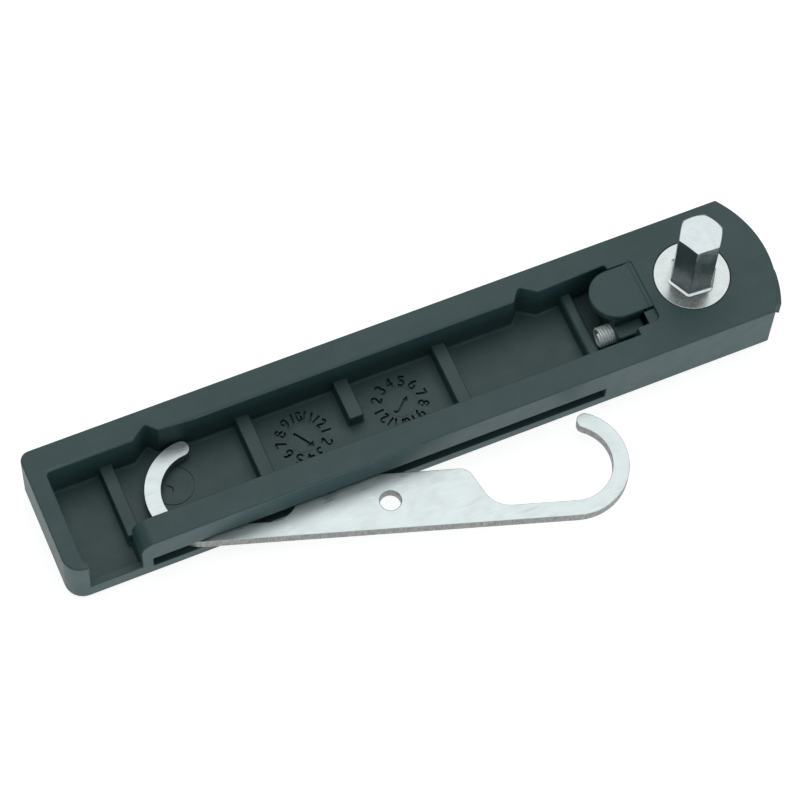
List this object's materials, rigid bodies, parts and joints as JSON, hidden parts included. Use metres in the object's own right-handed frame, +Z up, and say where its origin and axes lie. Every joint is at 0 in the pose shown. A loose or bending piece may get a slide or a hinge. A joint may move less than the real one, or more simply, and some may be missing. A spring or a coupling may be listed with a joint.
{
  "type": "case back opener",
  "caption": "Moulded pocket handle with a hexagon drive post, a sprung latch and a flat double-hook steel blade kept in a side slot.",
  "frame": {"origin": "centre of the handle's underside", "axes": "+X along the handle from the open end to the post, +Y to the wall without a slot, +Z up through the post"},
  "size_m": [0.1216, 0.0402, 0.0231],
  "materials": {
    "handle_plastic": "fine moulded grain, satin, dark grey with a green cast",
    "latch_plastic": "fine moulded grain, satin",
    "blade_steel": "stamped sheet, satin",
    "post_steel": "bright turned and plated",
    "washer_steel": "polished",
    "bush_brass": "turned",
    "clip_steel": "blackened spring steel",
    "spring_steel": "bright spring wire"
  },
  "bodies": {
    "handle": {"handle_body": "handle_plastic", "post_washer": "washer_steel", "post_bush": "bush_brass", "latch_spring": "spring_steel"},
    "blade": {"hook_blade": "blade_steel"},
    "post": {"hex_post": "post_steel", "back_washer": "washer_steel", "retaining_clip": "clip_steel"},
    "latch": {"latch_tab": "latch_plastic"}
  },
  "joints": [
    {"name": "blade_swing", "type": "hinge", "parent": "handle", "child": "blade", "pos_m": [-0.03985, -0.0094, 0.00365], "axis": [0, 0, 1], "range_deg": [-36, 18]},
    {"name": "post_turn", "type": "hinge", "parent": "handle", "child": "post", "pos_m": [0.04775, 0, 0.0167], "axis": [0, 0, 1], "continuous": true},
    {"name": "latch_slide", "type": "slide", "parent": "handle", "child": "latch", "axis": [-1, 0, 0], "range_m": [-0.00045, 0.0016], "stiffness_N_per_m": 300, "deforming": ["latch_spring"]}
  ]
}
